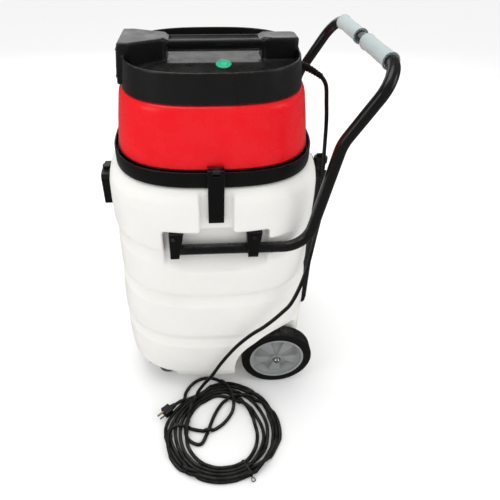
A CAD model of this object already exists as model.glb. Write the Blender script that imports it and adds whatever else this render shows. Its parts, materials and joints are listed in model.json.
# A wheeled canister vacuum cleaner: a white tank on two wheels, a red motor cover and a black
# cap above it, a push handle, a drain hose, and a power cord bundled on the floor.
# It stands on z = 0 about the Z axis. The hose inlet faces -Y. The wheels, the drain hose and
# the top of the handle lie towards +Y. "Near" pieces are on +X, "far" ones on -X.
# Shapes are worked out in millimetres; new_mesh turns them into metres.
import functools
import json
import math
import bmesh
import bpy
import numpy as np
from mathutils import Matrix, Vector


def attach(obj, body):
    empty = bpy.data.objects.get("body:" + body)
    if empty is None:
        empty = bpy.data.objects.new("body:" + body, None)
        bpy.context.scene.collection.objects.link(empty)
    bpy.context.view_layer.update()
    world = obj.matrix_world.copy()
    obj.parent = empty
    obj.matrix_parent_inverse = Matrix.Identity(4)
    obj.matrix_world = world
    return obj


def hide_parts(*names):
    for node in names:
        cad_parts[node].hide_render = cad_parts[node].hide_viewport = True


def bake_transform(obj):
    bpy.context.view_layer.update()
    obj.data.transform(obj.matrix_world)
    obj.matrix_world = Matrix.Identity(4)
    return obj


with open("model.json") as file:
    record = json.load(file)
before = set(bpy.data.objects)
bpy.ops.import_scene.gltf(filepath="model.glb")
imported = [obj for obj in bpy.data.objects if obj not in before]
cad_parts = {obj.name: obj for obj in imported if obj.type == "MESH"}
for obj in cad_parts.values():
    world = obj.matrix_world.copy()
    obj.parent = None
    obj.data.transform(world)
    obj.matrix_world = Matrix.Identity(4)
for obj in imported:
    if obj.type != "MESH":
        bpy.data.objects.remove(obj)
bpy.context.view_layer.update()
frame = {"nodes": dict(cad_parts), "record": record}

MM = 0.001
SQUARENESS = 2.8                  # exponent of the body's rounded-square outline
X_AXIS, Z_AXIS = (1, 0, 0), (0, 0, 1)

WHEEL_X = 168.5                   # inner face of the near tyre
AXLE_Y, AXLE_Z = 173.5, 101.5
TYRE_R = AXLE_Z                   # the tyres stand on the floor
ARM_X, ARM_Z, TUBE_R = 233.0, 534.0, 12.7    # level ends of the handle tube
DRAIN_X, DRAIN_Y = -15.0, 284.0   # axis of the drain hose
INLET_Z = 585
CORD_R = 4.8


# ------------------------------------------------------------------ meshes
def new_mesh(name, verts, faces, normals=None, sharp=None):
    """An object from vertices in mm; an array of faces must all have the same size."""
    mesh = bpy.data.meshes.new(name)
    verts = np.asarray(verts, float) * MM
    if isinstance(faces, np.ndarray):
        mesh.vertices.add(len(verts))
        mesh.vertices.foreach_set("co", verts.astype(np.float32).ravel())
        mesh.loops.add(faces.size)
        mesh.loops.foreach_set("vertex_index", faces.astype(np.int32).ravel())
        mesh.polygons.add(len(faces))
        starts = np.arange(0, faces.size, faces.shape[1], dtype=np.int32)
        mesh.polygons.foreach_set("loop_start", starts)
    else:
        mesh.from_pydata([tuple(v) for v in verts], [], [tuple(int(i) for i in f) for f in faces])
    mesh.update(calc_edges=True)
    mesh.validate()
    mesh.polygons.foreach_set("use_smooth", np.full(len(mesh.polygons), True))
    if sharp is not None:
        mesh.set_sharp_from_angle(angle=math.radians(sharp))
    if normals is not None:
        mesh.normals_split_custom_set_from_vertices([tuple(n) for n in normals])
    mesh.update()
    ob = bpy.data.objects.new(name, mesh)
    bpy.context.scene.collection.objects.link(ob)
    return ob


def mirror_x(ob, name):
    mesh = ob.data
    verts = np.zeros(len(mesh.vertices) * 3, np.float32)
    mesh.vertices.foreach_get("co", verts)
    verts = verts.reshape(-1, 3) * [-1, 1, 1]
    faces = np.array([tuple(reversed(p.vertices)) for p in mesh.polygons], np.int32)
    return new_mesh(name, verts / MM, faces, sharp=50)


def face_outwards(ob):
    """Merge doubled vertices and turn all faces outwards."""
    bm = bmesh.new()
    bm.from_mesh(ob.data)
    bmesh.ops.remove_doubles(bm, verts=bm.verts, dist=1e-7)
    bmesh.ops.recalc_face_normals(bm, faces=bm.faces)
    if bm.calc_volume(signed=True) < 0:
        bmesh.ops.reverse_faces(bm, faces=bm.faces)
    bm.to_mesh(ob.data)
    bm.free()
    ob.data.update()
    return ob


# ------------------------------------------------------------------ distance fields
# A field takes p = (x, y, z) and is negative inside. "blend" is the width of a soft seam.
def join(a, b, blend):
    h = np.clip(0.5 + 0.5 * (b - a) / blend, 0, 1)
    return b * (1 - h) + a * h - blend * h * (1 - h)


def common(a, b, blend):
    return -join(-a, -b, blend)


def cut(a, tool, blend):
    return common(a, -tool, blend)


def overlap(fields, edge):
    """Where all the fields are inside, with edges rounded to this radius."""
    q = [d + edge for d in fields]
    outside = np.sqrt(sum(np.maximum(d, 0) ** 2 for d in q))
    return outside + np.minimum(functools.reduce(np.maximum, q), 0) - edge


def box(p, lo, hi, edge=0.0):
    """A box in space, or a rectangle for a point of two coordinates."""
    return overlap([np.abs(c - (a + b) / 2) - (b - a) / 2 for c, a, b in zip(p, lo, hi)], edge)


def cylinder(p, start, end, radius, edge=0.0):
    start, end = np.array(start, float), np.array(end, float)
    length = np.linalg.norm(end - start)
    axis = (end - start) / length
    offset = [c - m for c, m in zip(p, (start + end) / 2)]
    along = sum(c * a for c, a in zip(offset, axis))
    square = sum(c ** 2 for c in offset) - along * along
    return overlap([np.sqrt(np.maximum(square, 0)) - radius, np.abs(along) - length / 2], edge)


def polygon(u, v, points):
    points = np.array(points, float)
    square, sign = np.inf, 1.0
    for i, (pu, pv) in enumerate(points):
        before = points[i - 1]
        e = before - points[i]
        wu, wv = u - pu, v - pv
        t = np.clip((wu * e[0] + wv * e[1]) / (e @ e), 0, 1)
        du, dv = wu - e[0] * t, wv - e[1] * t
        square = np.minimum(square, du * du + dv * dv)
        c1, c2, c3 = v >= pv, v < before[1], e[0] * wv > e[1] * wu
        sign = np.where((c1 & c2 & c3) | (~c1 & ~c2 & ~c3), -sign, sign)
    return sign * np.sqrt(square)


def extrude(shape, w, lo, hi, edge):
    return overlap([shape, np.abs(w - (lo + hi) / 2) - (hi - lo) / 2], edge)


def squircle(p, half_x, half_y):
    """Near distance to an upright rounded-square prism."""
    n = SQUARENESS
    u, v = np.abs(p[0]) / half_x, np.abs(p[1]) / half_y
    s = np.maximum((u ** n + v ** n) ** (1 / n), 1e-6)
    slope = np.sqrt(((u / s) ** (n - 1) / half_x) ** 2 + ((v / s) ** (n - 1) / half_y) ** 2)
    return (s - 1) / np.maximum(slope, 1e-6)


def smooth_table(rows, sigma, step=0.5):
    """Rows of (z, a, b...) as a function of z giving [a, b...], smoothed over sigma."""
    rows = np.array(rows, float)
    first, second, before_last, last = rows[0], rows[1], rows[-2], rows[-1]
    z = np.arange(first[0] - 40, last[0] + 40, step)
    kernel = np.exp(-0.5 * (np.arange(-4 * sigma, 4 * sigma + step, step) / sigma) ** 2)
    kernel /= kernel.sum()
    pad = len(kernel) // 2
    columns = []
    for c in range(1, rows.shape[1]):
        values = np.interp(z, rows[:, 0], rows[:, c])
        # carry the end slopes on, so that smoothing keeps the ends' sizes
        slope0 = (second[c] - first[c]) / (second[0] - first[0])
        slope1 = (last[c] - before_last[c]) / (last[0] - before_last[0])
        values = np.where(z < first[0], first[c] + slope0 * (z - first[0]), values)
        values = np.where(z > last[0], last[c] + slope1 * (z - last[0]), values)
        padded = np.pad(values, pad, mode="edge")
        columns.append(np.convolve(padded, kernel, mode="same")[pad:-pad])
    return lambda q: [np.interp(q, z, column) for column in columns]


def surface_nets(values, origin, cell):
    """Vertices and quads on the zero surface of a grid of values."""
    inside = values < 0
    count = np.zeros(tuple(n - 1 for n in values.shape), np.uint8)
    corners = [(i, j, k) for i in (0, 1) for j in (0, 1) for k in (0, 1)]
    for corner in corners:
        count += inside[tuple(slice(0, -1) if a == 0 else slice(1, None) for a in corner)]
    active = (count > 0) & (count < 8)
    index = np.full(active.shape, -1, np.int32)
    I, J, K = np.nonzero(active)
    index[I, J, K] = np.arange(len(I))
    at_corner = {o: values[I + o[0], J + o[1], K + o[2]] for o in corners}
    place = np.zeros((len(I), 3))
    crossings = np.zeros(len(I))
    for corner in corners:
        for axis in range(3):
            if corner[axis] == 0:
                other = tuple(1 if i == axis else corner[i] for i in range(3))
                fa, fb = at_corner[corner], at_corner[other]
                crossed = (fa < 0) != (fb < 0)
                point = np.array(corner, float)[None, :].repeat(len(I), 0)
                point[:, axis] += np.where(crossed, fa / np.where(crossed, fa - fb, 1), 0)
                place += point * crossed[:, None]
                crossings += crossed
    place /= crossings[:, None]
    verts = np.array(origin) + (np.stack([I, J, K], 1) + place) * cell
    quads = []
    for axis in range(3):
        b, c = [(1, 2), (2, 0), (0, 1)][axis]
        low, high, inner = ([slice(None)] * 3 for _ in range(3))
        low[axis], high[axis] = slice(0, -1), slice(1, None)
        inner[b] = inner[c] = slice(1, -1)
        crossed = inside[tuple(low)] != inside[tuple(high)]
        edges = np.array(np.nonzero(crossed[tuple(inner)]))
        edges[b] += 1
        edges[c] += 1
        around = []
        for db, dc in ((-1, -1), (0, -1), (0, 0), (-1, 0)):
            cells = edges.copy()
            cells[b] += db
            cells[c] += dc
            around.append(index[tuple(cells)])
        quad = np.stack(around, 1)
        leaving = ~inside[tuple(edges)]
        quad[leaving] = quad[leaving][:, ::-1]
        quads.append(quad)
    return verts, np.concatenate(quads)


def gradient(field, verts, reach=0.25):
    g = np.zeros_like(verts)
    for axis in range(3):
        d = np.zeros(3)
        d[axis] = reach
        g[:, axis] = (field((verts + d).T) - field((verts - d).T)) / (2 * reach)
    return g


def field_mesh(name, field, lo, hi, cell):
    """A mesh on the zero surface of a field, with the surface's own normals."""
    xs, ys, zs = [np.arange(a - 2 * cell, b + 3 * cell, cell) for a, b in zip(lo, hi)]
    values = field((xs[:, None, None], ys[None, :, None], zs[None, None, :]))
    verts, quads = surface_nets(values, [xs[0], ys[0], zs[0]], cell)
    start, end = np.concatenate([quads[:, [i, (i + 1) % 4]] for i in range(4)]).T
    n = len(verts)
    neighbours = np.bincount(start, minlength=n) + np.bincount(end, minlength=n)
    for _ in range(2):
        total = np.zeros_like(verts)
        for c in range(3):
            total[:, c] = (np.bincount(start, verts[end, c], n)
                           + np.bincount(end, verts[start, c], n))
        verts = 0.5 * verts + 0.5 * total / neighbours[:, None]
        # pull the evened vertices back onto the surface
        for _ in range(2):
            f = field(verts.T)
            g = gradient(field, verts)
            step = g * (f / np.maximum((g * g).sum(1), 0.05))[:, None]
            length = np.linalg.norm(step, axis=1)
            verts = verts - step * np.minimum(1, 0.8 * cell / np.maximum(length, 1e-9))[:, None]
    g = gradient(field, verts)
    g /= np.maximum(np.linalg.norm(g, axis=1), 1e-9)[:, None]
    return new_mesh(name, verts, quads, normals=g)


# ------------------------------------------------------------------ profiles and curves
def round_profile(rows, steps):
    """A closed profile from rows of (a, b, corner radius), as points with rounded corners."""
    out = []
    points = [np.array(row[:2], float) for row in rows]
    for i, row in enumerate(rows):
        a, b, c = points[i - 1], points[i], points[(i + 1) % len(points)]
        radius = row[2]
        if radius <= 0:
            out.append(b)
            continue
        len_u, len_v = np.linalg.norm(a - b), np.linalg.norm(c - b)
        u, v = (a - b) / len_u, (c - b) / len_v
        angle = math.acos(u @ v)
        reach = min(radius / math.tan(angle / 2), 0.49 * len_u, 0.49 * len_v)
        fitted = reach * math.tan(angle / 2)
        centre = b + (u + v) / np.linalg.norm(u + v) * fitted / math.sin(angle / 2)
        p0, p1 = b + u * reach - centre, b + v * reach - centre
        for k in range(steps + 1):
            t = k / steps
            d = p0 * (1 - t) + p1 * t
            out.append(centre + d / np.linalg.norm(d) * fitted)
    return out


def subdivide(profile, spacing):
    out = []
    for i, p0 in enumerate(profile):
        p1 = profile[(i + 1) % len(profile)]
        n = max(1, int(np.linalg.norm(p1 - p0) / spacing))
        out += [p0 + (p1 - p0) * k / n for k in range(n)]
    return out


def arc_lengths(points):
    steps = np.linalg.norm(np.diff(points, axis=0), axis=1)
    return np.concatenate([[0], np.cumsum(steps)])


def sample_at(where, lengths, points):
    return np.stack([np.interp(where, lengths, column) for column in points.T], 1)


def smooth_curve(points, per):
    """A Catmull-Rom curve through the points, with this many steps for each span."""
    P = np.array(points, float)
    n = len(P)
    out = []
    for i in range(n - 1):
        a, b, c, d = P[max(i - 1, 0)], P[i], P[i + 1], P[min(i + 2, n - 1)]
        for f in np.arange(per) / per:
            out.append(0.5 * (2 * b + (c - a) * f + (2 * a - 5 * b + 4 * c - d) * f * f
                              + (3 * b - a - 3 * c + d) * f ** 3))
    out.append(P[-1])
    return np.array(out)


def unit_rows(vectors):
    return vectors / np.linalg.norm(vectors, axis=1)[:, None]


def ring_quads(count, rows):
    """Quads joining a ring of closed profiles."""
    i, j = np.arange(count)[:, None], np.arange(rows)[None, :]
    i2, j2 = (i + 1) % count, (j + 1) % rows
    corners = [i * rows + j, i * rows + j2, i2 * rows + j2, i2 * rows + j]
    return np.stack(corners, -1).reshape(-1, 4)


def lathe(name, profile, origin, axis, count, disp=None, sharp=40):
    """Turn a closed profile of (along, radius); disp(angle, along, radius) adds to the radius."""
    axis = np.array(axis, float)
    axis /= np.linalg.norm(axis)
    aside = np.array([0, 0, 1.0]) if abs(axis[2]) < 0.9 else np.array([1.0, 0, 0])
    p = np.cross(aside, axis)
    p /= np.linalg.norm(p)
    q = np.cross(axis, p)
    profile = np.array(profile, float)
    angle = np.arange(count) * 2 * math.pi / count
    along = profile[:, 0][None, :].repeat(count, 0)
    radius = profile[:, 1][None, :].repeat(count, 0)
    if disp is not None:
        radius = radius + disp(angle[:, None], along, radius)
    turn = angle[:, None, None]
    verts = (np.array(origin, float) + along[..., None] * axis
             + radius[..., None] * (np.cos(turn) * p + np.sin(turn) * q))
    quads = ring_quads(count, len(profile))
    return face_outwards(new_mesh(name, verts.reshape(-1, 3), quads, sharp=sharp))


def loft_ring(name, profile, count):
    """Carry a closed profile of (half width, z) round the body's outline."""
    t = np.linspace(0, 2 * math.pi, 20001)
    curve = np.stack([np.sign(w) * np.abs(w) ** (2 / SQUARENESS) for w in (np.cos(t), np.sin(t))], 1)
    lengths = arc_lengths(curve)
    outline = sample_at(np.arange(count) * lengths[-1] / count, lengths, curve)
    profile = np.array(profile, float)
    verts = np.zeros((count, len(profile), 3))
    verts[..., :2] = outline[:, None, :] * profile[None, :, :1]
    verts[..., 2] = profile[None, :, 1]
    quads = ring_quads(count, len(profile))
    return face_outwards(new_mesh(name, verts.reshape(-1, 3), quads, sharp=40))


def sweep(name, path, radius, sides):
    """A capped round rod along a path; the radius may vary from point to point."""
    path = np.array(path, float)
    count = len(path)
    tangent = unit_rows(np.gradient(path, axis=0))
    u = np.cross(tangent[0], [0, 0, 1.0] if abs(tangent[0][2]) < 0.9 else [1.0, 0, 0])
    across = [u / np.linalg.norm(u)]
    for t in tangent[1:]:
        u = across[-1] - t * (across[-1] @ t)
        across.append(u / np.linalg.norm(u))
    across = np.array(across)
    third = np.cross(tangent, across)
    turn = (np.arange(sides) * 2 * math.pi / sides)[None, :, None]
    radius = np.broadcast_to(radius, count)[:, None, None]
    verts = path[:, None, :] + radius * (np.cos(turn) * across[:, None, :]
                                         + np.sin(turn) * third[:, None, :])
    i, k = np.arange(count - 1)[:, None] * sides, np.arange(sides)[None, :]
    k2 = (k + 1) % sides
    quads = np.stack([i + k, i + sides + k, i + sides + k2, i + k2], -1).reshape(-1, 4)
    faces = [tuple(f) for f in quads]
    faces += [tuple(range(sides - 1, -1, -1)), tuple((count - 1) * sides + np.arange(sides))]
    return face_outwards(new_mesh(name, verts.reshape(-1, 3), faces, sharp=50))


# ------------------------------------------------------------------ materials
class Shader:
    """A material's nodes, starting from a principled shader joined to the output."""

    def __init__(self, name):
        self.material = bpy.data.materials.new(name)
        self.material.use_nodes = True
        self.tree = self.material.node_tree
        self.tree.nodes.clear()
        self.output = self.add("OutputMaterial")
        self.surface = self.add("BsdfPrincipled")
        self.feed(self.output.inputs[0], self.surface.outputs[0])
        self.normal = None

    def add(self, kind):
        return self.tree.nodes.new("ShaderNode" + kind)

    def feed(self, socket, value):
        """Link a socket, or set a number or an RGB colour."""
        if isinstance(value, bpy.types.NodeSocket):
            self.tree.links.new(value, socket)
        else:
            socket.default_value = (*value, 1) if isinstance(value, tuple) else value

    def noise(self, scale, detail, roughness=0.55, stretch=None):
        node = self.add("TexNoise")
        node.inputs["Scale"].default_value = scale
        node.inputs["Detail"].default_value = detail
        node.inputs["Roughness"].default_value = roughness
        coords = self.coords
        if stretch:
            mapping = self.add("Mapping")
            mapping.inputs["Scale"].default_value = stretch
            self.feed(mapping.inputs[0], coords)
            coords = mapping.outputs[0]
        self.feed(node.inputs["Vector"], coords)
        return node.outputs[0]

    def mix(self, factor, a, b):
        node = self.add("Mix")
        node.data_type = "RGBA"
        for socket, value in ((0, factor), (6, a), (7, b)):
            self.feed(node.inputs[socket], value)
        return node.outputs[2]

    def ramp(self, value, low, high, to=(0, 1)):
        node = self.add("MapRange")
        for socket, number in enumerate((low, high, *to), 1):
            node.inputs[socket].default_value = number
        self.feed(node.inputs[0], value)
        return node.outputs[0]

    def times(self, a, b):
        node = self.add("Math")
        node.operation = "MULTIPLY"
        self.feed(node.inputs[0], a)
        self.feed(node.inputs[1], b)
        return node.outputs[0]

    def bump(self, height, depth):
        node = self.add("Bump")
        node.inputs["Distance"].default_value = depth
        node.inputs["Strength"].default_value = 1.0
        self.feed(node.inputs["Height"], height)
        if self.normal is not None:
            self.feed(node.inputs["Normal"], self.normal)
        self.normal = node.outputs[0]


def material_color(s, color, tone, wear, wear_color, dust):
    dark = tuple(c * (1 - tone) for c in color)
    light = tuple(min(1, c * (1 + tone) + 0.004 * tone) for c in color)
    c = s.mix(s.ramp(s.noise(scale=7.0, detail=5), 0.3, 0.7), dark, light)
    fine = s.noise(scale=160.0, detail=3)
    c = s.mix(s.ramp(fine, 0.35, 0.75), c, s.mix(0.35, c, light))
    if wear > 0:    # in patches, on convex edges
        geometry = s.add("NewGeometry")
        convex = s.ramp(geometry.outputs["Pointiness"], 0.515, 0.60)
        patches = s.ramp(s.noise(scale=90.0, detail=4), 0.35, 0.65)
        worn = s.times(s.times(convex, patches), wear)
        c = s.mix(worn, c, wear_color or tuple(min(1, x * 2.2 + 0.05) for x in color))
    if dust > 0:    # in patches, on faces that look up
        geometry = s.add("NewGeometry")
        split = s.add("SeparateXYZ")
        s.feed(split.inputs[0], geometry.outputs["Normal"])
        upward = s.ramp(split.outputs[2], 0.5, 1.0)
        patches = s.ramp(s.noise(scale=35.0, detail=6, roughness=0.7), 0.42, 0.75)
        c = s.mix(s.times(s.times(upward, patches), dust), c, (0.45, 0.43, 0.40))
    return c


def make_material(name, color, rough, metal=0.0, tone=0.08, grain=900.0, grain_depth=0.00004,
                  wave=60.0, wave_depth=0.0, pebble=0.0, coat=0.0, scatter=0.0, wear=0.0,
                  wear_color=None, specular=0.5, rough_range=0.07, sheen=0.0, dust=0.0,
                  edge=0.0, brush=None, scratch=0.0):
    """tone: spread of the colour's lightness. grain, wave: noise scales of fine and broad relief.
    *_depth, pebble, scratch: relief in metres. scatter: subsurface weight. edge: shaded bevel
    radius in metres. brush: (noise scale, stretch, depth in metres). Others: weights 0 to 1."""
    s = Shader(name)
    s.coords = s.add("TexCoord").outputs["Object"]
    inputs = s.surface.inputs
    s.feed(inputs["Base Color"], material_color(s, color, tone, wear, wear_color, dust))
    limits = (max(0.02, rough - rough_range), min(1, rough + rough_range))
    s.feed(inputs["Roughness"], s.ramp(s.noise(scale=28.0, detail=5), 0.3, 0.7, to=limits))
    inputs["Metallic"].default_value = metal
    inputs["Specular IOR Level"].default_value = specular
    inputs["Coat Weight"].default_value = coat
    inputs["Coat Roughness"].default_value = 0.12
    if scatter:
        inputs["Subsurface Weight"].default_value = scatter
        inputs["Subsurface Radius"].default_value = (0.012, 0.011, 0.009)
        inputs["Subsurface Scale"].default_value = 0.6
    if sheen:
        inputs["Sheen Weight"].default_value = sheen
        inputs["Sheen Roughness"].default_value = 0.5
    if edge > 0:
        bevel = s.add("Bevel")
        bevel.samples = 4
        bevel.inputs[0].default_value = edge
        s.normal = bevel.outputs[0]
    if wave_depth:
        s.bump(s.noise(scale=wave, detail=2), wave_depth)
    if brush:
        scale, stretch, depth = brush
        s.bump(s.noise(scale, detail=3, roughness=0.6, stretch=stretch), depth)
    if pebble:
        cells = s.add("TexVoronoi")
        cells.inputs["Scale"].default_value = grain * 0.8
        s.feed(cells.inputs["Vector"], s.coords)
        s.bump(cells.outputs["Distance"], pebble)
    if scratch:
        s.bump(s.noise(scale=14.0, detail=8, roughness=0.8, stretch=(1.0, 1.0, 22.0)), scratch)
    if grain_depth:
        s.bump(s.noise(scale=grain, detail=3, roughness=0.6), grain_depth)
    if s.normal is not None:
        s.feed(inputs["Normal"], s.normal)
    return s.material


MATERIALS = {
    "white_poly": dict(
        color=(0.86, 0.85, 0.815), rough=0.42, tone=0.03, grain=500, grain_depth=0.00010, wave=42,
        wave_depth=0.0010, scatter=0.12, wear=0.10, wear_color=(0.93, 0.93, 0.91), dust=0.04,
        rough_range=0.06),
    "black_plastic": dict(
        color=(0.0030, 0.0031, 0.0029), rough=0.36, tone=0.25, grain=1300, pebble=0.00005,
        wear=0.4, wear_color=(0.07, 0.07, 0.068), dust=0.04, specular=0.34, edge=0.0005),
    "cap_plastic": dict(
        color=(0.0065, 0.0072, 0.0065), rough=0.33, tone=0.25, grain=1500, grain_depth=0.00003,
        pebble=0.00004, wear=0.55, wear_color=(0.10, 0.11, 0.105), dust=0.05),
    "red_plastic": dict(
        color=(0.82, 0.004, 0.011), rough=0.27, tone=0.04, grain=260, wave=24, wave_depth=0.0003,
        coat=0.05, specular=0.32, wear=0.25, wear_color=(0.85, 0.20, 0.20), dust=0.03,
        scratch=0.00004),
    "black_tube": dict(
        color=(0.0050, 0.0050, 0.0048), rough=0.27, tone=0.2, grain=700, grain_depth=0.00007,
        wave=120, wave_depth=0.00010, wear=0.35, wear_color=(0.16, 0.16, 0.155), dust=0.05,
        coat=0.15),
    "grip_foam": dict(
        color=(0.43, 0.50, 0.50), rough=0.80, tone=0.07, grain=1500, grain_depth=0.00022,
        pebble=0.00016, wear=0.2, wear_color=(0.7, 0.76, 0.76), sheen=0.25, dust=0.05,
        specular=0.3),
    "grey_plastic": dict(
        color=(0.30, 0.31, 0.306), rough=0.38, tone=0.10, grain_depth=0.00006, wear=0.7,
        wear_color=(0.48, 0.50, 0.49), dust=0.10),
    "tyre_rubber": dict(
        color=(0.0060, 0.0060, 0.0056), rough=0.60, tone=0.30, grain=700, grain_depth=0.00022,
        pebble=0.00008, wear=0.55, wear_color=(0.06, 0.058, 0.055), dust=0.14, specular=0.35),
    "zinc_steel": dict(
        color=(0.56, 0.57, 0.58), rough=0.34, metal=1.0, tone=0.10, grain=1200,
        grain_depth=0.00003, wear=0.2, brush=(60, (1, 1, 14), 0.00003), edge=0.0003),
    "spring_steel": dict(color=(0.45, 0.45, 0.46), rough=0.25, metal=1.0),
    "chrome": dict(
        color=(0.83, 0.83, 0.84), rough=0.12, metal=1.0, tone=0.03, grain=500,
        grain_depth=0.00003, rough_range=0.04),
    "caster_grey": dict(
        color=(0.09, 0.09, 0.092), rough=0.5, tone=0.15, grain_depth=0.0001, dust=0.15,
        edge=0.0006, wear=0.3),
    "hose_black": dict(
        color=(0.0060, 0.0060, 0.0058), rough=0.42, tone=0.2, grain_depth=0.0001, dust=0.08,
        wear=0.3, wear_color=(0.07, 0.07, 0.07)),
    "cord_black": dict(
        color=(0.0042, 0.0042, 0.0040), rough=0.36, specular=0.3, tone=0.25, grain=1200,
        grain_depth=0.00010, wave=90, wave_depth=0.00015, dust=0.10, wear=0.2,
        wear_color=(0.06, 0.06, 0.055), edge=0.0005),
    "brass": dict(
        color=(0.70, 0.56, 0.30), rough=0.22, metal=1.0, tone=0.10, wear=0.2, edge=0.0002),
    "seal_rubber": dict(color=(0.014, 0.014, 0.014), rough=0.68, tone=0.2, grain_depth=0.0001),
    "switch_red": dict(
        color=(0.45, 0.008, 0.010), rough=0.25, grain_depth=0.00003, edge=0.0005, coat=0.2),
    "lamp_green": dict(
        color=(0.035, 0.50, 0.27), rough=0.25, tone=0.10, grain=600, grain_depth=0.00005,
        scatter=0.2, wear=0.6, wear_color=(0.25, 0.75, 0.55), coat=0.3),
    "motor_plastic": dict(
        color=(0.17, 0.17, 0.172), rough=0.5, tone=0.12, grain_depth=0.0001, edge=0.0006,
        wear=0.3),
    "motor_metal": dict(
        color=(0.58, 0.58, 0.59), rough=0.38, metal=1.0, tone=0.10, grain=700,
        grain_depth=0.00005, brush=(50, (1, 1, 10), 0.00004), edge=0.0005),
    "filter_cloth": dict(
        color=(0.70, 0.67, 0.58), rough=0.9, tone=0.12, grain=600, grain_depth=0.0003,
        pebble=0.0002, sheen=0.4, dust=0.1),
    "foam_grey": dict(
        color=(0.07, 0.07, 0.072), rough=0.95, tone=0.25, grain=350, grain_depth=0.0008,
        pebble=0.0006),
}
SLOTS = {slot: make_material("m_" + slot, **values) for slot, values in MATERIALS.items()}

for row in frame["record"]["subparts"]:
    node, slot = row["node"], row["material_slot"]
    if node in frame["nodes"] and slot in SLOTS:
        piece = frame["nodes"][node]
        if not piece.material_slots:
            piece.data.materials.append(SLOTS[slot])
        for material_slot in piece.material_slots:
            material_slot.material = SLOTS[slot]


def put(ob, body, slot, node=None, material=None):
    """Fix a piece to a moving body, in place of the CAD node if one is given."""
    ob.data.materials.clear()
    ob.data.materials.append(SLOTS[material or slot])
    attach(ob, body)
    if node:
        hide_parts(node)


def put_pair(near, far_name, bodies, slot, nodes):
    """Place a near piece and its mirror image."""
    far = mirror_x(near, far_name)
    for ob, body, node in zip((near, far), bodies, nodes):
        put(ob, body, slot, node)


# ------------------------------------------------------------------ tank
# z, half width in x, half width in y
tank_half_widths = smooth_table([
    [45, 206, 238], [50, 214, 246], [62, 223, 253], [88, 231, 257.5], [140, 237, 259.5],
    [200, 240, 259.5], [212, 236, 255], [225, 231, 250], [235, 233, 251.5], [240, 240, 258],
    [252, 243, 259.5], [300, 245, 258], [356, 246, 254], [372, 240, 247], [385, 235, 242],
    [393, 237.5, 244.5], [398, 246, 251], [412, 248, 252], [494, 249, 250], [506, 244, 244.5],
    [520, 240, 240.5], [531, 242, 243], [536, 249.5, 251], [550, 251, 253], [600, 251, 253.5],
    [638, 250, 252.5], [660, 246.5, 248.5], [675, 240, 241], [684, 232, 232.5], [689, 225, 225],
], sigma=2.6)
TANK_WALL = 9.0
ARCH_X, ARCH_R, ARCH_Y = 158, 117, AXLE_Y - 3.5
# low corner, high corner of the flat seats for the inlet, the hose hook and the drain fitting
TANK_SEATS = [
    ((-54, -330, 540), (54, -249, 630)),
    ((-50, 249, 556), (20, 330, 640)),
    ((-45, 252, 96), (15, 330, 160)),
]


def wheel_arch(side):
    arch = cylinder(side, (ARCH_X, ARCH_Y, AXLE_Z), (330, ARCH_Y, AXLE_Z), ARCH_R, 6)
    arch = join(arch, box(side, (ARCH_X, ARCH_Y - ARCH_R, -60), (330, 340, AXLE_Z), 6), 6)
    return join(arch, box(side, (ARCH_X, AXLE_Y, -60), (330, 340, AXLE_Z + 7), 6), 6)


def tank_outside(p):
    x, y, z = p
    side = (np.abs(x), y, z)
    f = squircle(p, *tank_half_widths(z))
    f = common(f, z - 689, 5)
    f = common(f, 45 - z, 14)
    # pocket for the handle clips, with a sloping sill
    pocket = common(box(side, (215, -119, 478), (330, 117, 587), 7),
                    (480 + (243 - side[0]) * 1.25 - z) * 0.625, 5)
    f = cut(f, pocket, 9)
    f = cut(f, box(side, (216, 90, 516), (330, 300, 560), 7), 9)        # handle tube channel
    f = cut(f, box(side, (232, -36, 560), (330, 37, 800), 7), 8)        # latch recess
    f = cut(f, wheel_arch(side), 10)
    f = cut(f, box(side, (96, -400, -60), (330, -119, 72), 6), 10)      # low corners at -Y
    for lo, hi in TANK_SEATS:
        f = cut(f, box(p, lo, hi, 2), 4)
    return f


def tank_field(p):
    """The hollow tank, with a channel across its underside between the wheel arches."""
    f = tank_outside(p)
    channel = join(box(p, (-153, AXLE_Y - 12, -60), (153, AXLE_Y + 12, 106), 2),
                   cylinder(p, (-153, AXLE_Y, 106), (153, AXLE_Y, 106), 12, 2), 2)
    cavity = cut(f + TANK_WALL, channel - 6, 5)
    cavity = join(cavity, common(squircle(p, 213.0, 213.0), 668 - p[2], 4), 6)    # open mouth
    f = cut(f, channel, 4)
    f = cut(f, cavity, 2.5)
    return cut(f, cylinder(p, (0, -300, INLET_Z), (0, -205, INLET_Z), 25, 1), 1.5)


put(field_mesh("tank_shell", tank_field, (-256, -262, 43), (256, 262, 690), 2.9),
    "tank", "white_poly", "tank")

# ------------------------------------------------------------------ ring, drum and cap of the head
# half width, z, corner radius
RING_PROFILE = [
    (206, 690.6, 1), (230, 690.6, 3.2), (230, 726, 2.2), (226, 726, 1.4), (226, 706, 1.2),
    (221, 706, 1.2), (221, 728, 1.2), (206, 728, 1),
]
put(loft_ring("clamp_ring", round_profile(RING_PROFILE, 6), 288),
    "head", "black_plastic", "head_ring")

DRUM_BOTTOM, DRUM_TOP = 728.1, 855
# z, half width
drum_half_width = smooth_table(
    [[DRUM_BOTTOM, 219.5], [742, 218.5], [790, 213], [836, 206.5], [843, 205.2]], sigma=2.0)
VENT_PITCH = 16


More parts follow.
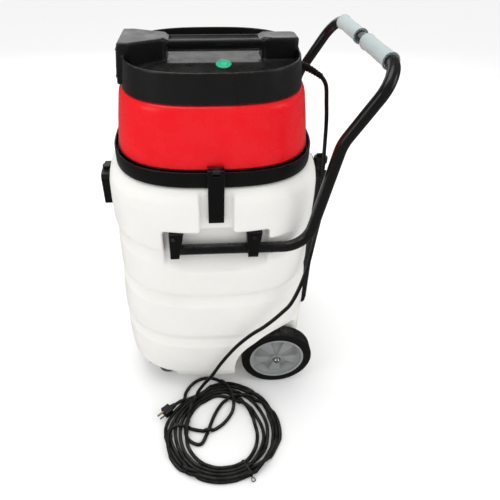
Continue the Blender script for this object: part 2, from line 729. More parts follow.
def drum_field(p):
    x, y, z = p
    half = drum_half_width(z)[0]
    f = common(squircle(p, half, half), z - DRUM_TOP, 15)
    f = common(f, DRUM_BOTTOM - z, 1.5)
    f = cut(f, common(squircle(p, half - 4.2, half - 4.2), z - 850.8, 12), 1.2)
    f = cut(f, common(squircle(p, 176.3, 176.3), 842 - z, 1), 1.2)
    # six upright slots on each side of the middle of the +Y wall
    u = np.abs(x) - 43.5
    u = u - VENT_PITCH * np.clip(np.round(u / VENT_PITCH), 0, 5)
    slots = extrude(np.maximum(np.abs(u) - 3.5, np.abs(z - 815) - 15), y, 190, 240, 0.0)
    return cut(f, slots, 1.2)


put(field_mesh("motor_cover", drum_field, (-221, -221, 727), (221, 221, 856), 1.9),
    "head", "red_plastic", "drum")

CAP_BOTTOM = 855.2
# z, half width
cap_half_width = smooth_table([[855.1, 198], [912, 191.4], [916, 191.0]], sigma=2.0)
# x, y of the raised block at the -Y side of the cap
BLOCK = [(-66, -203), (66, -203), (66, -170), (34, -105), (28, -98), (-28, -98), (-34, -105),
         (-66, -170)]
BLOCK_Y, BLOCK_Z = -203, 856.5             # foot of the block's leaning face
LEAN_COS, LEAN_SIN = 0.99452, 0.10453      # the face leans by 6 degrees


def cap_field(p):
    x, y, z = p
    half = cap_half_width(z)[0]
    outside = common(squircle(p, half, half), z - 915, 4.2)
    outside = common(outside, CAP_BOTTOM - z, 1.5)
    rim = cut(outside, squircle(p, half - 4.4, half - 4.4), 3.0)
    # the floor is level in the middle and slopes down to both sides
    floor_z = 893 - 0.2426 * (np.sqrt(np.maximum(np.abs(x) - 42, 0) ** 2 + 36) - 6)
    over_floor = (z - floor_z) * 0.972
    floor = common(squircle(p, 193.0, 193.0), over_floor, 1.0)
    f = join(rim, common(floor, CAP_BOTTOM - z, 1.0), 5)
    # y and z square to the block's leaning face
    lean_y = BLOCK_Y + (y - BLOCK_Y) * LEAN_COS - (z - BLOCK_Z) * LEAN_SIN
    lean_z = BLOCK_Z + (y - BLOCK_Y) * LEAN_SIN + (z - BLOCK_Z) * LEAN_COS
    front = common(extrude(polygon(x, y, BLOCK), z, 856.4, 938, 4.5), BLOCK_Y - lean_y, 4.5)
    f = join(f, front, 5)
    # carrying handle: a bar from a block at +Y to the block at -Y, grooved along its top
    rear = extrude(box((x, y), (-33, 110), (33, 189), 13), z, 860, 938, 6)
    handle = join(rear, box(p, (-27, -118, 921.5), (27, 130, 934.2), 5.5), 9)
    handle = join(handle, common(front, z - 938, 1), 9)
    f = join(f, handle, 5)
    f = cut(f, box(p, (-19.5, -91, 929.5), (19.5, 103, 960), 4), 2.6)
    # hollow underside and blocks
    f = cut(f, common(squircle(p, 171.0, 171.0), over_floor + 7.5, 3), 2)
    f = cut(f, np.maximum(box(p, (-54, -215, 800), (54, -158, 933), 3), -197.6 - lean_y), 2)
    f = cut(f, box((x, lean_y, lean_z), (-50, -215, 872), (50, -190, 924), 0.5), 0.8)
    return cut(f, box(p, (-28, 115, 800), (28, 182, 933), 8), 2)


put(field_mesh("top_cap", cap_field, (-200.4, -206.3, 853.7), (200, 200, 940), 1.9),
    "head", "black_plastic", "cap", material="cap_plastic")

# indicator lamp, square to the sloping floor: along, radius, corner radius
LAMP_PROFILE = [
    (-8, 0.0, 0), (-8, 13, 0), (2.4, 13, 0.3), (2.4, 17, 0.6), (4.6, 16.6, 0.8),
    (4.9, 13.6, 0.5), (4.2, 12.6, 0.6), (5.2, 7, 3), (5.6, 0.0, 0),
]
LAMP_PLACE = (51.46, 25, 888.38)
LAMP_TILT = math.radians(13.6)
lamp_profile = [(a, max(radius, 0.01)) for a, radius in round_profile(LAMP_PROFILE, 5)]
put(lathe("lamp_lens", lamp_profile, LAMP_PLACE, (math.sin(LAMP_TILT), 0, math.cos(LAMP_TILT)), 72),
    "head", "lamp_green", "pilot_lamp")


# ------------------------------------------------------------------ latches
def strap_field(p):
    x, y, z = p
    half = 16.9 + 0.5 * np.clip((z - 612) / 110, 0, 1)
    face = np.maximum(np.maximum(np.abs(y) - half, 610.4 - z), z - 731.6)
    f = extrude(face, x, 234.8, 242.5, 1.6)
    hollow = np.maximum(np.abs(y) - (half - 2.7), np.maximum(600 - z, z - 722))
    f = cut(f, extrude(hollow, x, 220, 239, 0.6), 1.2)
    # rolled top edge with a notch
    f = join(f, cylinder(p, (237.6, -17.4, 731.6), (237.6, 17.4, 731.6), 4.7, 0.8), 2)
    f = cut(f, box(p, (215, -8.1, 724), (262, 8.1, 762), 0.8), 1.0)
    # two shallow finger ribs near the lower end
    for rib_z in (621, 627):
        f = join(f, cylinder(p, (242.0, -11, rib_z), (242.0, 11, rib_z), 1.1, 0.6), 0.8)
    return f


put_pair(field_mesh("strap_a", strap_field, (233, -19.5, 608), (244, 19.5, 738), 0.9),
         "strap_b", ("strap_near", "strap_far"), "black_plastic", ("latch_near", "latch_far"))

# ------------------------------------------------------------------ push handle
# Each side runs level, turns up, leans further back at a second bend, then turns across.
# Places are (y, z); each bend lies between a start and an end about a centre.
LEAN_LOW, LEAN_HIGH = math.radians(10.2), math.radians(31.7)
BEND_LOW, BEND_MID, BEND_TOP = 65, 90, 60
LOW_CORNER_Y, MID_CORNER_Y, UPPER_LENGTH = 206.4, 251.6, 166.5
up_low = np.array([math.sin(LEAN_LOW), math.cos(LEAN_LOW)])
out_low = np.array([math.cos(LEAN_LOW), -math.sin(LEAN_LOW)])
up_high = np.array([math.sin(LEAN_HIGH), math.cos(LEAN_HIGH)])
low_start_y = LOW_CORNER_Y - BEND_LOW * math.tan((math.pi / 2 - LEAN_LOW) / 2)
low_centre = np.array([low_start_y, ARM_Z + BEND_LOW])
low_end = low_centre + BEND_LOW * out_low
mid_corner = np.array(
    [MID_CORNER_Y, low_end[1] + (MID_CORNER_Y - low_end[0]) / math.tan(LEAN_LOW)])
mid_reach = BEND_MID * math.tan((LEAN_HIGH - LEAN_LOW) / 2)
mid_start = mid_corner - mid_reach * up_low
mid_centre = mid_start + BEND_MID * out_low
mid_end = mid_corner + mid_reach * up_high
bar_place = mid_corner + UPPER_LENGTH * up_high
top_start = bar_place - BEND_TOP * up_high


def straight(start, end, count):
    return [(ARM_X, *(start + (end - start) * t)) for t in np.linspace(0, 1, count)[1:]]


def arm_points():
    points = [(ARM_X, y, ARM_Z) for y in np.linspace(-98, low_start_y, 14)]
    for t in np.linspace(0, math.pi / 2 - LEAN_LOW, 22)[1:]:
        points.append((ARM_X, low_centre[0] + BEND_LOW * math.sin(t),
                       low_centre[1] - BEND_LOW * math.cos(t)))
    points += straight(low_end, mid_start, 10)
    for t in np.linspace(LEAN_LOW, LEAN_HIGH, 10)[1:]:
        points.append((ARM_X, mid_centre[0] - BEND_MID * math.cos(t),
                       mid_centre[1] + BEND_MID * math.sin(t)))
    points += straight(mid_end, top_start, 8)
    up = np.array([0, *up_high])
    centre = np.array([ARM_X - BEND_TOP, *top_start])
    for t in np.linspace(0, math.pi / 2, 22)[1:]:
        turned = np.array([math.cos(t), 0, 0]) + up * math.sin(t)
        points.append(tuple(centre + BEND_TOP * turned))
    return points


arm = arm_points()
bar_half = ARM_X - BEND_TOP
crossbar = [(x, *bar_place) for x in np.linspace(bar_half, -bar_half, 20)[1:-1]]
handle_path = np.array(arm + crossbar + [(-x, y, z) for x, y, z in reversed(arm)])
put(sweep("push_handle", handle_path, TUBE_R, 40), "tank", "black_tube", "handle_tube")

# foam sleeve with a cupped rim at both ends: along, radius, corner radius
SLEEVE_PROFILE = [
    (0, 13.1, 0.2), (5.5, 12.9, 0), (141.5, 12.9, 0), (147, 13.1, 0.2), (147, 13.7, 0.2),
    (141.5, 14.3, 0.3), (141.8, 15.0, 0.3), (148.0, 16.3, 0.6), (148.6, 17.7, 0.7),
    (143.6, 17.8, 1.2), (141, 16.2, 1.5), (110, 16.1, 0), (73.5, 15.9, 0), (36, 16.1, 0),
    (6, 16.2, 1.5), (3.4, 17.8, 1.2), (-1.6, 17.7, 0.7), (-1.0, 16.3, 0.6), (5.2, 15.0, 0.3),
    (5.5, 14.3, 0.3), (0, 13.7, 0.2),
]


def sleeve(name, side):
    def dent(angle, along, radius):
        s = (0.22 * np.sin(3 * angle + along * 0.05 + side) * np.sin(along * 0.043 + 1.1 * side)
             + 0.16 * np.sin(5 * angle - along * 0.11) * np.sin(along * 0.09))
        s = s + 0.10 * np.sin(11 * angle + along * 0.3) * np.sin(along * 0.21 + 2)
        return s * (radius > 15.6)
    # extra rows give the dents points to move
    profile = subdivide(round_profile(SLEEVE_PROFILE, 4), 2.2)
    return lathe(name, profile, (side * 25, *bar_place), (side, 0, 0), 96, disp=dent, sharp=60)


sleeves = [sleeve("foam_sleeve_a", 1), sleeve("foam_sleeve_b", -1)]
put(sleeves[0], "tank", "grip_foam", "foam_grips")
put(sleeves[1], "tank", "grip_foam")


def clip(name, outline, hole, lo, hi):
    """A block round the level tube, from a (y, z) outline, with a blind hole in its outer face."""
    def field(p):
        x, y, z = p
        f = extrude(polygon(y, z, outline), x, 215.2, 248.5, 2.4)
        bore = cylinder(p, (ARM_X, -160, ARM_Z), (ARM_X, 160, ARM_Z), TUBE_R + 0.15)
        f = cut(f, bore, 1.2)
        return cut(f, cylinder(p, (247.0, *hole), (262, *hole), 5.2, 0.4), 0.8)
    return field_mesh(name, field, lo, hi, 1.3)


clips = [
    clip("clip_a", [(-105.5, 586), (-73, 586), (-85, 517.5), (-105.5, 517.5)], (-96, 574),
         (214, -108, 515), (250, -71, 588)),
    clip("clip_b", [(67, 586), (102, 586), (95, 517.5), (72, 517.5)], (84.5, 574),
         (214, 65, 515), (250, 104, 588)),
]
put(clips[0], "tank", "black_plastic", "handle_clips")
put(clips[1], "tank", "black_plastic")
put(mirror_x(clips[0], "clip_c"), "tank", "black_plastic")
put(mirror_x(clips[1], "clip_d"), "tank", "black_plastic")

# ------------------------------------------------------------------ wheels
WHEEL_BODIES = ("wheel_near", "wheel_far")
AXLE = (0, AXLE_Y, AXLE_Z)


def hub_field(p):
    x, y, z = p
    dy, dz = y - AXLE_Y, z - AXLE_Z
    r = np.sqrt(dy * dy + dz * dz)
    # five raised spokes with scooped fields between them: 1 on a spoke, 0 in a field
    spoke = 1 / (1 + np.exp(-(np.cos(5 * np.arctan2(dy, -dz)) + 0.12) * 10.0))
    t = np.clip((r - 17) / 50, 0, 1)
    face = 199.5 - 2.5 * t - (1 - spoke) * (4.5 + 13.5 * t) - 0.35 * np.clip(r - 59, 0, 9) * spoke
    web = np.maximum(np.maximum(x - face, (face - 5) - x) * 0.8, r - 74)
    rim = np.maximum(np.abs(r - 74.6) - 2.9, np.abs(x - (WHEEL_X + 21)) - 18)
    lip = np.sqrt((r - 74.8) ** 2 + (x - 206.2) ** 2) - 3.1
    cone = (x - (188 + (r - 61.5) * 1.36)) * 0.6
    bevel = np.maximum(r - 76, np.maximum(cone, np.maximum(176 - x, 60 - r)))
    f = join(web, join(join(rim, bevel, 3), lip, 1.5), 4)
    f = join(f, cylinder(p, (162, AXLE_Y, AXLE_Z), (210, AXLE_Y, AXLE_Z), 15.2, 2), 4)
    f = cut(f, np.maximum(np.abs(r - 11.2) - 1.0, 207.5 - x), 0.8)
    return cut(f, cylinder(p, (120, AXLE_Y, AXLE_Z), (260, AXLE_Y, AXLE_Z), 6.1), 0.6)


put_pair(field_mesh("wheel_hub_a", hub_field, (161, AXLE_Y - 79, AXLE_Z - 79),
                    (212, AXLE_Y + 79, AXLE_Z + 79), 1.35),
         "wheel_hub_b", WHEEL_BODIES, "grey_plastic", ("hub_near", "hub_far"))

# distance from the tyre's inner face, radius, corner radius
TYRE_PROFILE = [
    (1, 77.8, 0.5), (0, 96.5, 3), (1.6, 100.4, 3), (5, TYRE_R, 2.5), (35, TYRE_R, 2.5),
    (38.4, 100.4, 3), (40, 96.5, 3), (38.6, 84, 3), (40, 79.6, 1.2), (38.8, 77.8, 0.5),
]


def tread(angle, along, radius):
    """Three wavy grooves round the tyre, and fine slits across its shoulders."""
    u = along - WHEEL_X - 20
    on_tread = np.clip((radius - 98.2) / 1.5, 0, 1)
    groove = np.zeros_like(radius)
    for centre in (-6.5, 6.5, 0):
        wavy = np.abs(u - centre - 0.9 * np.sin(angle * 60))
        groove = np.maximum(groove, np.clip(1.4 - wavy, 0, 1))
    phase = (angle * 60 / math.pi + np.abs(u) * 0.12) % 1
    slit = np.clip(0.16 - np.abs(phase - 0.5), 0, 0.1) * 9
    return -on_tread * (groove * 1.6 + 0.9 * slit * (np.abs(u) > 8))


tyre_rows = [(WHEEL_X + a, radius, corner) for a, radius, corner in TYRE_PROFILE]
tyre_profile = subdivide(round_profile(tyre_rows, 5), 0.8)
put_pair(lathe("tyre_a", tyre_profile, AXLE, X_AXIS, 480, disp=tread, sharp=70),
         "tyre_b", WHEEL_BODIES, "tyre_rubber", ("tyre_near", "tyre_far"))

# domed nut on the axle's end: x, radius, corner radius
NUT_PROFILE = [
    (212, 6.1, 0.2), (212, 9.2, 0.3), (213.2, 9.5, 0.4), (214.2, 8.6, 0.6), (216.5, 8.3, 1.2),
    (219.2, 6.6, 1.4), (220.3, 3.4, 1.0), (220.5, 0.02, 0), (219.6, 0.02, 0), (219.4, 3.0, 0.5),
    (218.3, 5.9, 0.5), (216, 6.1, 0.2),
]


def nut_teeth(angle, along, radius):
    wave = np.clip(np.sin(12 * angle) * 2, -1, 0.4)
    return (radius > 8.5) * (along < 214.3) * 0.55 * wave


put_pair(lathe("push_nut_a", round_profile(NUT_PROFILE, 4), AXLE, X_AXIS, 96, disp=nut_teeth,
               sharp=45),
         "push_nut_b", ("tank", "tank"), "chrome", ("push_nuts", None))


# ------------------------------------------------------------------ hose inlet
def inlet_field(p):
    x, y, z = p
    side = (np.abs(x), y, z)
    flange = extrude(box((x, z - INLET_Z), (-51, -41), (51, 41), 9), y, -255.5, -250.2, 1.6)
    block = box(p, (-46, -284, 547), (46, -251, 626), 3.5)
    block = common(block, -y - 280.2 + 3.0 * (x / 46) ** 2, 2.5)        # slightly bowed face
    shoulders = ((side[0] - 46) * 9 + (z - 616) * 8) / 12.04
    block = common(block, shoulders, 0.7)
    f = join(flange, block, 2.5)
    f = cut(f, np.maximum(np.abs(z - 612.6) - 0.9, 45.4 - side[0]), 0.8)    # line on each end
    f = cut(f, cylinder(p, (0, -330, INLET_Z), (0, -261, INLET_Z), 23.5), 1.4)
    f = cut(f, cylinder(p, (0, -330, INLET_Z), (0, -200, INLET_Z), 22), 1.0)
    # stepped hole in the top
    f = cut(f, cylinder(p, (0, -268, 611.2), (0, -268, 660), 8.5), 0.8)
    f = cut(f, cylinder(p, (0, -268, 596), (0, -268, 640), 4.2), 0.5)
    for hole_z in (INLET_Z - 29, INLET_Z + 29):
        f = cut(f, cylinder(side, (36, -300, hole_z), (36, -255.6, hole_z), 4.6), 0.8)
    return f


put(field_mesh("inlet_fitting", inlet_field, (-53, -282, 542), (53, -249, 628), 1.2),
    "tank", "black_plastic", "inlet_housing")

# ------------------------------------------------------------------ drain hose, plug and fittings
HOSE_PITCH = 8
hose_profile = [(138, 12.1), (138, 14.4)]                  # z, radius
for i in range(60):
    z0 = 139 + i * HOSE_PITCH
    hose_profile += [(z0, 14.9), (z0 + 4.4, 14.95), (z0 + 5.4, 14.2), (z0 + 7.0, 14.2)]
hose_profile += [(618.6, 14.9), (619, 12.1)]
put(lathe("drain_tube", hose_profile, (DRAIN_X, DRAIN_Y, 0), Z_AXIS, 56, sharp=60),
    "tank", "hose_black", "drain_hose")


def drain_rod(p, z0, z1, radius, edge=0.0):
    """An upright cylinder on the drain hose's axis."""
    return cylinder(p, (DRAIN_X, DRAIN_Y, z0), (DRAIN_X, DRAIN_Y, z1), radius, edge)


def drain_plug_field(p):
    x, y, z = p
    f = drain_rod(p, 619.3, 636, 18, 2.4)
    r = np.sqrt((x - DRAIN_X) ** 2 + (y - DRAIN_Y) ** 2)
    flutes = np.clip(np.cos(24 * np.arctan2(y - DRAIN_Y, x - DRAIN_X)), 0, 1)
    f = f + 0.55 * flutes * np.clip((r - 16) / 2, 0, 1) * (z < 632)
    tab = box(p, (DRAIN_X - 4, DRAIN_Y - 12, 632), (DRAIN_X + 4, DRAIN_Y + 12, 645), 3)
    f = join(f, tab, 3)
    f = join(f, drain_rod(p, 596.2, 620, 12, 1), 1)
    return cut(f, drain_rod(p, 580, 626, 9, 1), 1)


put(field_mesh("drain_plug", drain_plug_field, (DRAIN_X - 19, DRAIN_Y - 19, 595),
               (DRAIN_X + 19, DRAIN_Y + 19, 646), 1.0),
    "hose_cap", "black_plastic", "drain_cap")


def hook_field(p):
    f = box(p, (-33, 249.2, 556.5), (3, 253.6, 638), 1.8)                       # upright plate
    f = join(f, box(p, (-48, 249.2, 558), (18, 253.6, 575), 1.8), 3)            # screw plate
    f = join(f, box(p, (-33, 250, 584), (3, 270, 600), 2), 3)                   # arm
    f = join(f, drain_rod(p, 584, 600, 19, 1.6), 4)                             # hose ring
    f = join(f, box(p, (-33, 249.2, 633.6), (3, 262, 638), 1.8), 2)             # top ledge
    f = join(f, box(p, (-33, 258.6, 625.5), (3, 262, 638), 1.5), 1.5)           # its lip
    f = cut(f, drain_rod(p, 560, 620, 15.1), 1)
    f = cut(f, box(p, (DRAIN_X - 6, DRAIN_Y + 8, 570), (DRAIN_X + 6, 330, 620), 1), 1)
    for hole_x in (-40, 10):
        f = cut(f, cylinder(p, (hole_x, 251.6, 566), (hole_x, 290, 566), 4.9), 0.6)
    return f


put(field_mesh("rear_hook", hook_field, (-50, 248, 555), (20, 304, 640), 1.3),
    "tank", "black_plastic", "hose_hook")

ELBOW_Z = 128


def elbow_field(p):
    x, y, z = p
    dx, dy, dz = x - DRAIN_X, y - DRAIN_Y, z - ELBOW_Z
    plate = np.minimum(np.sqrt(dx ** 2 + dz ** 2) - 22,
                       np.maximum(np.abs(dx) - 29, np.abs(dz) - 9))
    f = extrude(plate, y, 252.1, 257, 1.3)
    f = join(f, cylinder(p, (DRAIN_X, 254, ELBOW_Z), (DRAIN_X, DRAIN_Y, ELBOW_Z), 13), 4)
    f = join(f, np.sqrt(dx ** 2 + dy ** 2 + dz ** 2) - 13.2, 1)
    f = join(f, drain_rod(p, ELBOW_Z, 137.4, 13.2, 1), 1)
    f = join(f, drain_rod(p, ELBOW_Z, 162, 11.9, 1), 1.5)
    f = cut(f, drain_rod(p, ELBOW_Z, 190, 9), 1)
    for hole_x in (-37, 7):
        f = cut(f, cylinder(p, (hole_x, 255.6, ELBOW_Z), (hole_x, 290, ELBOW_Z), 4.9), 0.6)
    return f


put(field_mesh("drain_fitting", elbow_field, (DRAIN_X - 31, 251, 104),
               (DRAIN_X + 31, DRAIN_Y + 15, 163), 1.3),
    "tank", "black_plastic", "drain_elbow")


# ------------------------------------------------------------------ cord boot
def cord_boot():
    """A tapering, ribbed sleeve where the cord leaves the head."""
    curve = smooth_curve([(0, 196, 872), (0, 206, 871.2), (2, 222, 865.5), (5, 238, 857),
                          (8.4, 252.0, 848.8)], 16)
    lengths = arc_lengths(curve)
    count = int(round(lengths[-1] / 0.7)) + 1
    path = sample_at(np.linspace(0, lengths[-1], count), lengths, curve)
    s = np.linspace(0, 1, count)
    radius = 9.6 - 3.2 * s
    radius = radius - 0.9 * (np.sin(s * 2 * math.pi * 9) > 0.1) * (s > 0.12)
    radius[0] = 6.0
    return sweep("cord_sleeve", path, radius, 32)


put(cord_boot(), "head", "cord_black", "cord_boot")

# ------------------------------------------------------------------ power cord
# x, y, z from the boot down to the floor
LEAD = [
    [7.2, 246.5, 852.2], [10, 254.2, 846], [11, 265, 828], [12, 271, 790], [14, 277, 740],
    [20, 281, 660], [34, 282, 600], [80, 278, 545], [150, 250, 494], [207, 222, 426],
    [250, 188, 376], [262, 160, 346], [268, 121, 308], [268, 89, 280], [264, 57, 239],
    [259, 32, 196], [255, 6, 145], [252, -17, 94], [253, -40, 58], [262, -59, 32],
]
ENTRY = [[283, -74, 13], [306, -82, 6], [331, -86, CORD_R]]
# the bundle's outer and inner edges about its centre: angle in degrees, radius
BUNDLE = np.array([352.0, 8.0])
OUTER_EDGE = [
    (-93, 157), (-78, 158), (-60, 159), (-40, 159), (-20, 157), (-6, 153), (11, 151), (32, 153),
    (53, 157), (71, 159), (87, 155), (107, 149), (133, 149), (155, 146), (169, 146), (186, 136),
    (210, 122), (240, 136),
]
INNER_EDGE = [
    (-93, 89), (-68, 97), (-51, 104), (-29, 110), (-10, 115), (8, 116), (25, 112), (46, 100),
    (66, 86), (95, 70), (139, 70), (165, 82), (190, 92), (215, 90), (243, 88),
]
# turns since the start at -Y, place between the inner (0) and outer (1) edge of the bundle
TURN_PLACES = [
    (0, .12), (.25, .20), (.5, .22), (.75, .40), (1, .38), (1.25, .45), (1.5, .62), (1.75, .55),
    (2, .78), (2.25, .92), (2.5, .84), (2.75, .92), (3, .98), (3.25, .80), (3.5, .99),
    (3.75, .70), (4, .58), (4.25, .60), (4.5, .42), (4.75, .10), (5, .16), (5.11, .0),
]
# x, y of a strand across the ring, then angle and place of a stretch going back round it
STRAND = [(405, -55), (381, -38), (351, -26), (320, -13), (293, 3), (273, 22), (262, 56),
          (266, 92), (290, 126)]
BACK = [(100, .90), (80, .93), (58, .86), (36, .97), (14, .99), (-8, .93), (-30, .90),
        (-50, .99), (-68, .97)]
# x, y of the tail that leads to the plug
TAIL = [(372, -140), (354, -127), (350, -108), (356, -83), (363, -59), (367, -31), (362, -12),
        (345, 13), (317, 35), (290, 44), (261, 43), (231, 32), (203, 5), (192, -26),
        (199, -57), (218, -80)]
TAIL_RISE = [[244, -95, 16.0], [270.2, -98.4, 20.3]]
PLUG_ANGLE = math.radians(246)
PLUG_END = np.array([349 + 145 * math.cos(PLUG_ANGLE), 10 + 145 * math.sin(PLUG_ANGLE), 21.8])
STEPS_PER_TURN = 18
CORD_STEP = 4.0                     # spacing of the cord's points
CURVE_STEPS = 12
OVER = 1e6                          # rank of what lies over everything else
CORD_GAP = 2 * CORD_R + 0.15
CORD_FLOOR = CORD_R + 0.1           # lowest height of the cord's middle


def bundle_point(degrees, place):
    wrapped = (degrees + 93) % 360 - 93
    inner, outer = [
        np.interp(wrapped, [a for a, _ in edge] + [edge[0][0] + 360],
                  [r for _, r in edge] + [edge[0][1]])
        for edge in (INNER_EDGE, OUTER_EDGE)]
    radius = inner + (outer - inner) * place
    angle = math.radians(degrees)
    return [BUNDLE[0] + radius * math.cos(angle), BUNDLE[1] + radius * math.sin(angle), CORD_R]


def cord_controls():
    turns, places = zip(*TURN_PLACES)
    loops = []
    for k in range(1, int(turns[-1] * STEPS_PER_TURN) + 1):
        t = k / STEPS_PER_TURN
        loops.append(bundle_point(-90 + 360 * t, float(np.interp(t, turns, places))))
    strand, tail = ([[x, y, CORD_R] for x, y in points] for points in (STRAND, TAIL))
    back = [bundle_point(degrees, place) for degrees, place in BACK]
    return LEAD + ENTRY + loops + strand + back + tail + TAIL_RISE + [list(PLUG_END)]


def contact_push(cord, first, second, tangent, rank):
    """The mean push on each point that parts touching strands."""
    d = cord[first] - cord[second]
    distance = np.linalg.norm(d, axis=1)
    hit = distance < CORD_GAP
    i, j, d, distance = first[hit], second[hit], d[hit], distance[hit]
    level = np.hypot(d[:, 0], d[:, 1])
    # strands that cross are stacked by rank; strands side by side are pushed apart
    sine = np.abs(tangent[i, 0] * tangent[j, 1] - tangent[i, 1] * tangent[j, 0])
    crossing = np.clip((sine - 0.12) / 0.25, 0, 1)[:, None]
    sign = np.where(rank[i] > rank[j], 1.0, -1.0)
    lift = np.sqrt(np.maximum(CORD_GAP ** 2 - level ** 2, 0))
    upward = np.zeros_like(d)
    upward[:, 2] = sign * np.maximum(lift - sign * d[:, 2], 0)
    apart = d / np.maximum(distance, 0.3)[:, None] * (CORD_GAP - distance)[:, None]
    push = (upward * crossing + apart * (1 - crossing)) * 0.5
    total = np.zeros_like(cord)
    count = np.zeros(len(cord))
    np.add.at(total, i, push)
    np.add.at(total, j, -push)
    np.add.at(count, i, 1)
    np.add.at(count, j, 1)
    return total / np.maximum(count, 1)[:, None]


def settle_cord(cord, fixed, rank):
    """Let the cord sink and lie on itself, staying near its drawn course."""
    sink, stiffness, home = 0.22, 0.35, 0.035      # per step: drop in mm, and two fractions
    tighten = [0.02, 0.02, 0.10]
    push_share = 0.9
    aim = cord[:, :2].copy()
    move = (~fixed)[:, None]
    for step in range(190):
        if step % 5 == 0:
            square = ((cord[:, None, :2] - cord[None, :, :2]) ** 2).sum(2)
            first, second = np.nonzero(np.triu(square < (CORD_GAP + 3) ** 2, 7))
            tangent = unit_rows(np.gradient(cord, axis=0))
        cord[:, 2] -= sink * move[:, 0]
        bend = np.zeros_like(cord)
        bend[1:-1] = 0.5 * (cord[:-2] + cord[2:]) - cord[1:-1]
        bend_change = np.zeros_like(cord)
        bend_change[2:-2] = 0.5 * (bend[1:-3] + bend[3:-1]) - bend[2:-2]
        cord += move * (-stiffness * bend_change) * (step < 175) + move * bend * tighten
        cord[:, :2] += home * (aim - cord[:, :2]) * move
        push = contact_push(cord, first, second, tangent, rank)
        cord += move * push * push_share
        cord[:, 2] = np.where(fixed, cord[:, 2], np.maximum(cord[:, 2], CORD_FLOOR))


def cord_path():
    curve = smooth_curve(cord_controls(), CURVE_STEPS)
    lengths = arc_lengths(curve)
    where = np.linspace(0, lengths[-1], int(lengths[-1] / CORD_STEP))
    cord = sample_at(where, lengths, curve)
    control = np.interp(where, lengths, np.arange(len(curve)) / CURVE_STEPS)
    order = np.arange(len(cord), dtype=float)
    rank = order.copy()
    rank[control < len(LEAD) + len(ENTRY) + 2] += OVER
    # the hanging lead and the plug end stay put
    fixed = (control < len(LEAD) - 1) | (order > len(cord) - 7)
    start_z = np.maximum(cord[:, 2], CORD_FLOOR + 3.0 * (order / len(cord)))
    cord[:, 2] = np.where(fixed, cord[:, 2], start_z)
    settle_cord(cord, fixed, rank)
    return cord


cord_points = cord_path()
cord = sweep("power_lead", cord_points, CORD_R, 14)
cord.data.materials.append(SLOTS["cord_black"])
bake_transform(cord)
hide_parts("power_cord")

# ------------------------------------------------------------------ tie round the bundle
TIE_ANGLE = math.radians(25)
tie_out = np.array([math.cos(TIE_ANGLE), math.sin(TIE_ANGLE)])
tie_along = np.array([-math.sin(TIE_ANGLE), math.cos(TIE_ANGLE)])
# distances out, along the cord and up
TIE_END = [(-2, -1, 5.4), (3, -2, 6), (7, -5, 5), (11, -3, 3), (11, 3, 2.4), (7, 5, 2.6),
           (3, 2, 4), (-2, 1, 4.4)]


def half_hull(points):
    hull = []
    for q in points:
        while len(hull) > 1:
            a, b = hull[-2], hull[-1]
            if (b[0] - a[0]) * (q[1] - a[1]) - (b[1] - a[1]) * (q[0] - a[0]) > 0:
                break
            hull.pop()
        hull.append(q)
    return hull[:-1]


def tie_section():
    """The hull, as (out, z), of the strands that pass through the tie."""
    offset = cord_points[:, :2] - BUNDLE
    out = offset @ tie_out
    near = (np.abs(offset @ tie_along) < 3.0) & (out > 60) & (cord_points[:, 2] < 40)
    radius = CORD_R + 0.9
    points = set()
    for r, z in zip(out[near], cord_points[near, 2]):
        for b in np.arange(0, 2 * math.pi, math.pi / 10):
            height = max(0.5, z + radius * math.sin(b))
            points.add((round(r + radius * math.cos(b), 3), round(height, 3)))
    points = sorted(points)
    return np.array(half_hull(points) + half_hull(points[::-1]))


def tie_band(section):
    centre = section.mean(0)
    verts = []
    for along, outer in ((-2.2, 0), (2.2, 0), (2.2, 1), (-2.2, 1)):
        for h in section:
            out, z = h + (h - centre) / np.linalg.norm(h - centre) * 0.9 * outer
            x, y = BUNDLE + tie_out * out + tie_along * along
            verts.append((x, y, max(z, 0.1 + 0.3 * (1 - outer))))
    m = len(section)
    faces = []
    for i in range(m):
        j = (i + 1) % m
        for a, b in ((0, 1), (1, 2), (2, 3), (3, 0)):
            faces.append((a * m + i, a * m + j, b * m + j, b * m + i))
    return face_outwards(new_mesh("cord_band", verts, faces, sharp=40))


section = tie_section()
put(tie_band(section), "tank", "cord_black", "cord_tie")
tie_end = [(*(BUNDLE + tie_out * (section[:, 0].max() + out) + tie_along * along), z)
           for out, along, z in TIE_END]
put(sweep("cord_band_end", smooth_curve(tie_end, 8), 1.1, 10), "tank", "cord_black")

# ------------------------------------------------------------------ plug
plug_turn = math.atan2(PLUG_END[1] + 98.41, PLUG_END[0] - 270.24)
plug_x, plug_y = math.cos(plug_turn), math.sin(plug_turn)


def plug_field(p):
    dx, dy, dz = (c - end for c, end in zip(p, PLUG_END))
    along = dx * plug_x + dy * plug_y
    across = dx * -plug_y + dy * plug_x
    r = np.sqrt(across ** 2 + dz ** 2)
    shape = join(r - 12, np.maximum(np.abs(across) - 12.6, np.abs(dz + 1) - 10.5), 3)
    f = extrude(shape, along, 17, 41, 2.2)
    radius = 6.4 + 2.6 * np.clip((along - 1) / 18, 0, 1) - 0.7 * (np.sin(along * 1.55) > 0.2)
    cone = np.maximum(r - radius, np.abs(along - 10) - 9.2)
    f = join(f, cone * 0.9, 1.2)
    # finger grooves on the sides
    for groove in (23, 28, 33):
        f = cut(f, np.sqrt((along - groove) ** 2 + (np.abs(across) - 13.6) ** 2) - 1.6, 0.8)
    return f


plug_reach = np.array([plug_x * 42, plug_y * 42, 0])
plug_margin = np.array([15, 15, 14])
put(field_mesh("plug_grip", plug_field, PLUG_END + (np.minimum(0, plug_reach) - plug_margin),
               PLUG_END + (np.maximum(0, plug_reach) + plug_margin), 0.9),
    "tank", "cord_black", "plug_body")


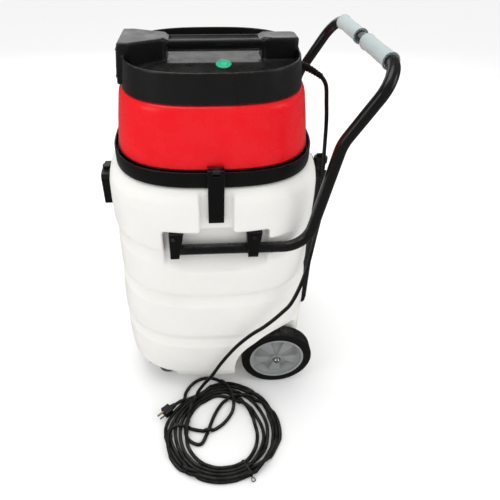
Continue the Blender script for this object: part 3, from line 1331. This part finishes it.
# ------------------------------------------------------------------ floor, light and camera
def make_floor():
    """A white floor that glossy surfaces see as dark."""
    bpy.ops.mesh.primitive_plane_add(size=40, location=(0, 0, -0.0005))
    floor = bpy.context.object
    floor.name = "studio_floor"
    s = Shader("m_floor")
    s.feed(s.surface.inputs["Base Color"], (0.97, 0.97, 0.968))
    s.surface.inputs["Roughness"].default_value = 0.85
    s.surface.inputs["Specular IOR Level"].default_value = 0.1
    floor.data.materials.append(s.material)
    mix = s.add("MixShader")
    rays = s.add("LightPath")
    dark = s.add("BsdfDiffuse")
    s.feed(dark.inputs[0], (0.13, 0.13, 0.128))
    s.feed(mix.inputs[0], rays.outputs["Is Glossy Ray"])
    s.feed(mix.inputs[1], s.surface.outputs[0])
    s.feed(mix.inputs[2], dark.outputs[0])
    s.feed(s.output.inputs[0], mix.outputs[0])


def make_world():
    """White all round, but dark as glossy surfaces see it."""
    world = bpy.data.worlds.new("studio")
    bpy.context.scene.world = world
    world.use_nodes = True
    nodes, link = world.node_tree.nodes, world.node_tree.links.new
    nodes.clear()
    output, mix, rays, white, dark = (
        nodes.new("ShaderNode" + kind)
        for kind in ("OutputWorld", "MixShader", "LightPath", "Background", "Background"))
    for node, color, strength in ((white, (1, 1, 1, 1), 0.96), (dark, (1, 0.99, 0.97, 1), 0.10)):
        node.inputs[0].default_value = color
        node.inputs[1].default_value = strength
    link(rays.outputs["Is Glossy Ray"], mix.inputs[0])
    link(white.outputs[0], mix.inputs[1])
    link(dark.outputs[0], mix.inputs[2])
    link(mix.outputs[0], output.inputs[0])


def area_light(name, place, target, size, power):
    light = bpy.data.lights.new(name, "AREA")
    light.shape = "RECTANGLE"
    light.size, light.size_y = size
    light.energy = power
    ob = bpy.data.objects.new(name, light)
    bpy.context.scene.collection.objects.link(ob)
    ob.location = place
    ob.rotation_euler = (Vector(target) - Vector(place)).to_track_quat("-Z", "Y").to_euler()


def make_camera(place, look, roll):
    camera = bpy.data.cameras.new("view")
    ob = bpy.data.objects.new("view", camera)
    bpy.context.scene.collection.objects.link(ob)
    look = Vector(look).normalized()
    right = look.cross(Vector(Z_AXIS)).normalized()
    up = right.cross(look)
    rolled_right = right * math.cos(roll) + up * math.sin(roll)
    rolled_up = -right * math.sin(roll) + up * math.cos(roll)
    rows = zip(rolled_right, rolled_up, -look, place)
    ob.matrix_world = Matrix((*rows, (0, 0, 0, 1)))
    camera.sensor_width = 36
    camera.lens = 33.21
    camera.shift_x, camera.shift_y = 0.0526, -0.0135
    camera.clip_start, camera.clip_end = 0.02, 100
    bpy.context.scene.camera = ob


make_floor()
make_world()
# name, place, target, size, power in watts
for light_row in (
    ("top_soft", (-0.1, -0.5, 2.9), (0, 0, 0.5), (1.5, 1.5), 15),
    ("left_soft", (1.3, -2.3, 1.9), (0, 0, 0.6), (1.1, 1.6), 9),
    ("back_soft", (-3.0, 0.1, 1.75), (0, 0, 0.75), (3.2, 1.7), 19),
    ("right_soft", (0.9, 2.5, 1.7), (0, 0, 0.6), (0.9, 1.5), 7),
):
    area_light(*light_row)
make_camera(place=(1.0676, -0.0318, 1.1798), look=(-0.79677, 0.04604, -0.60252),
            roll=math.radians(0.26))
bpy.context.scene.view_settings.view_transform = "Standard"
bpy.context.scene.view_settings.look = "None"
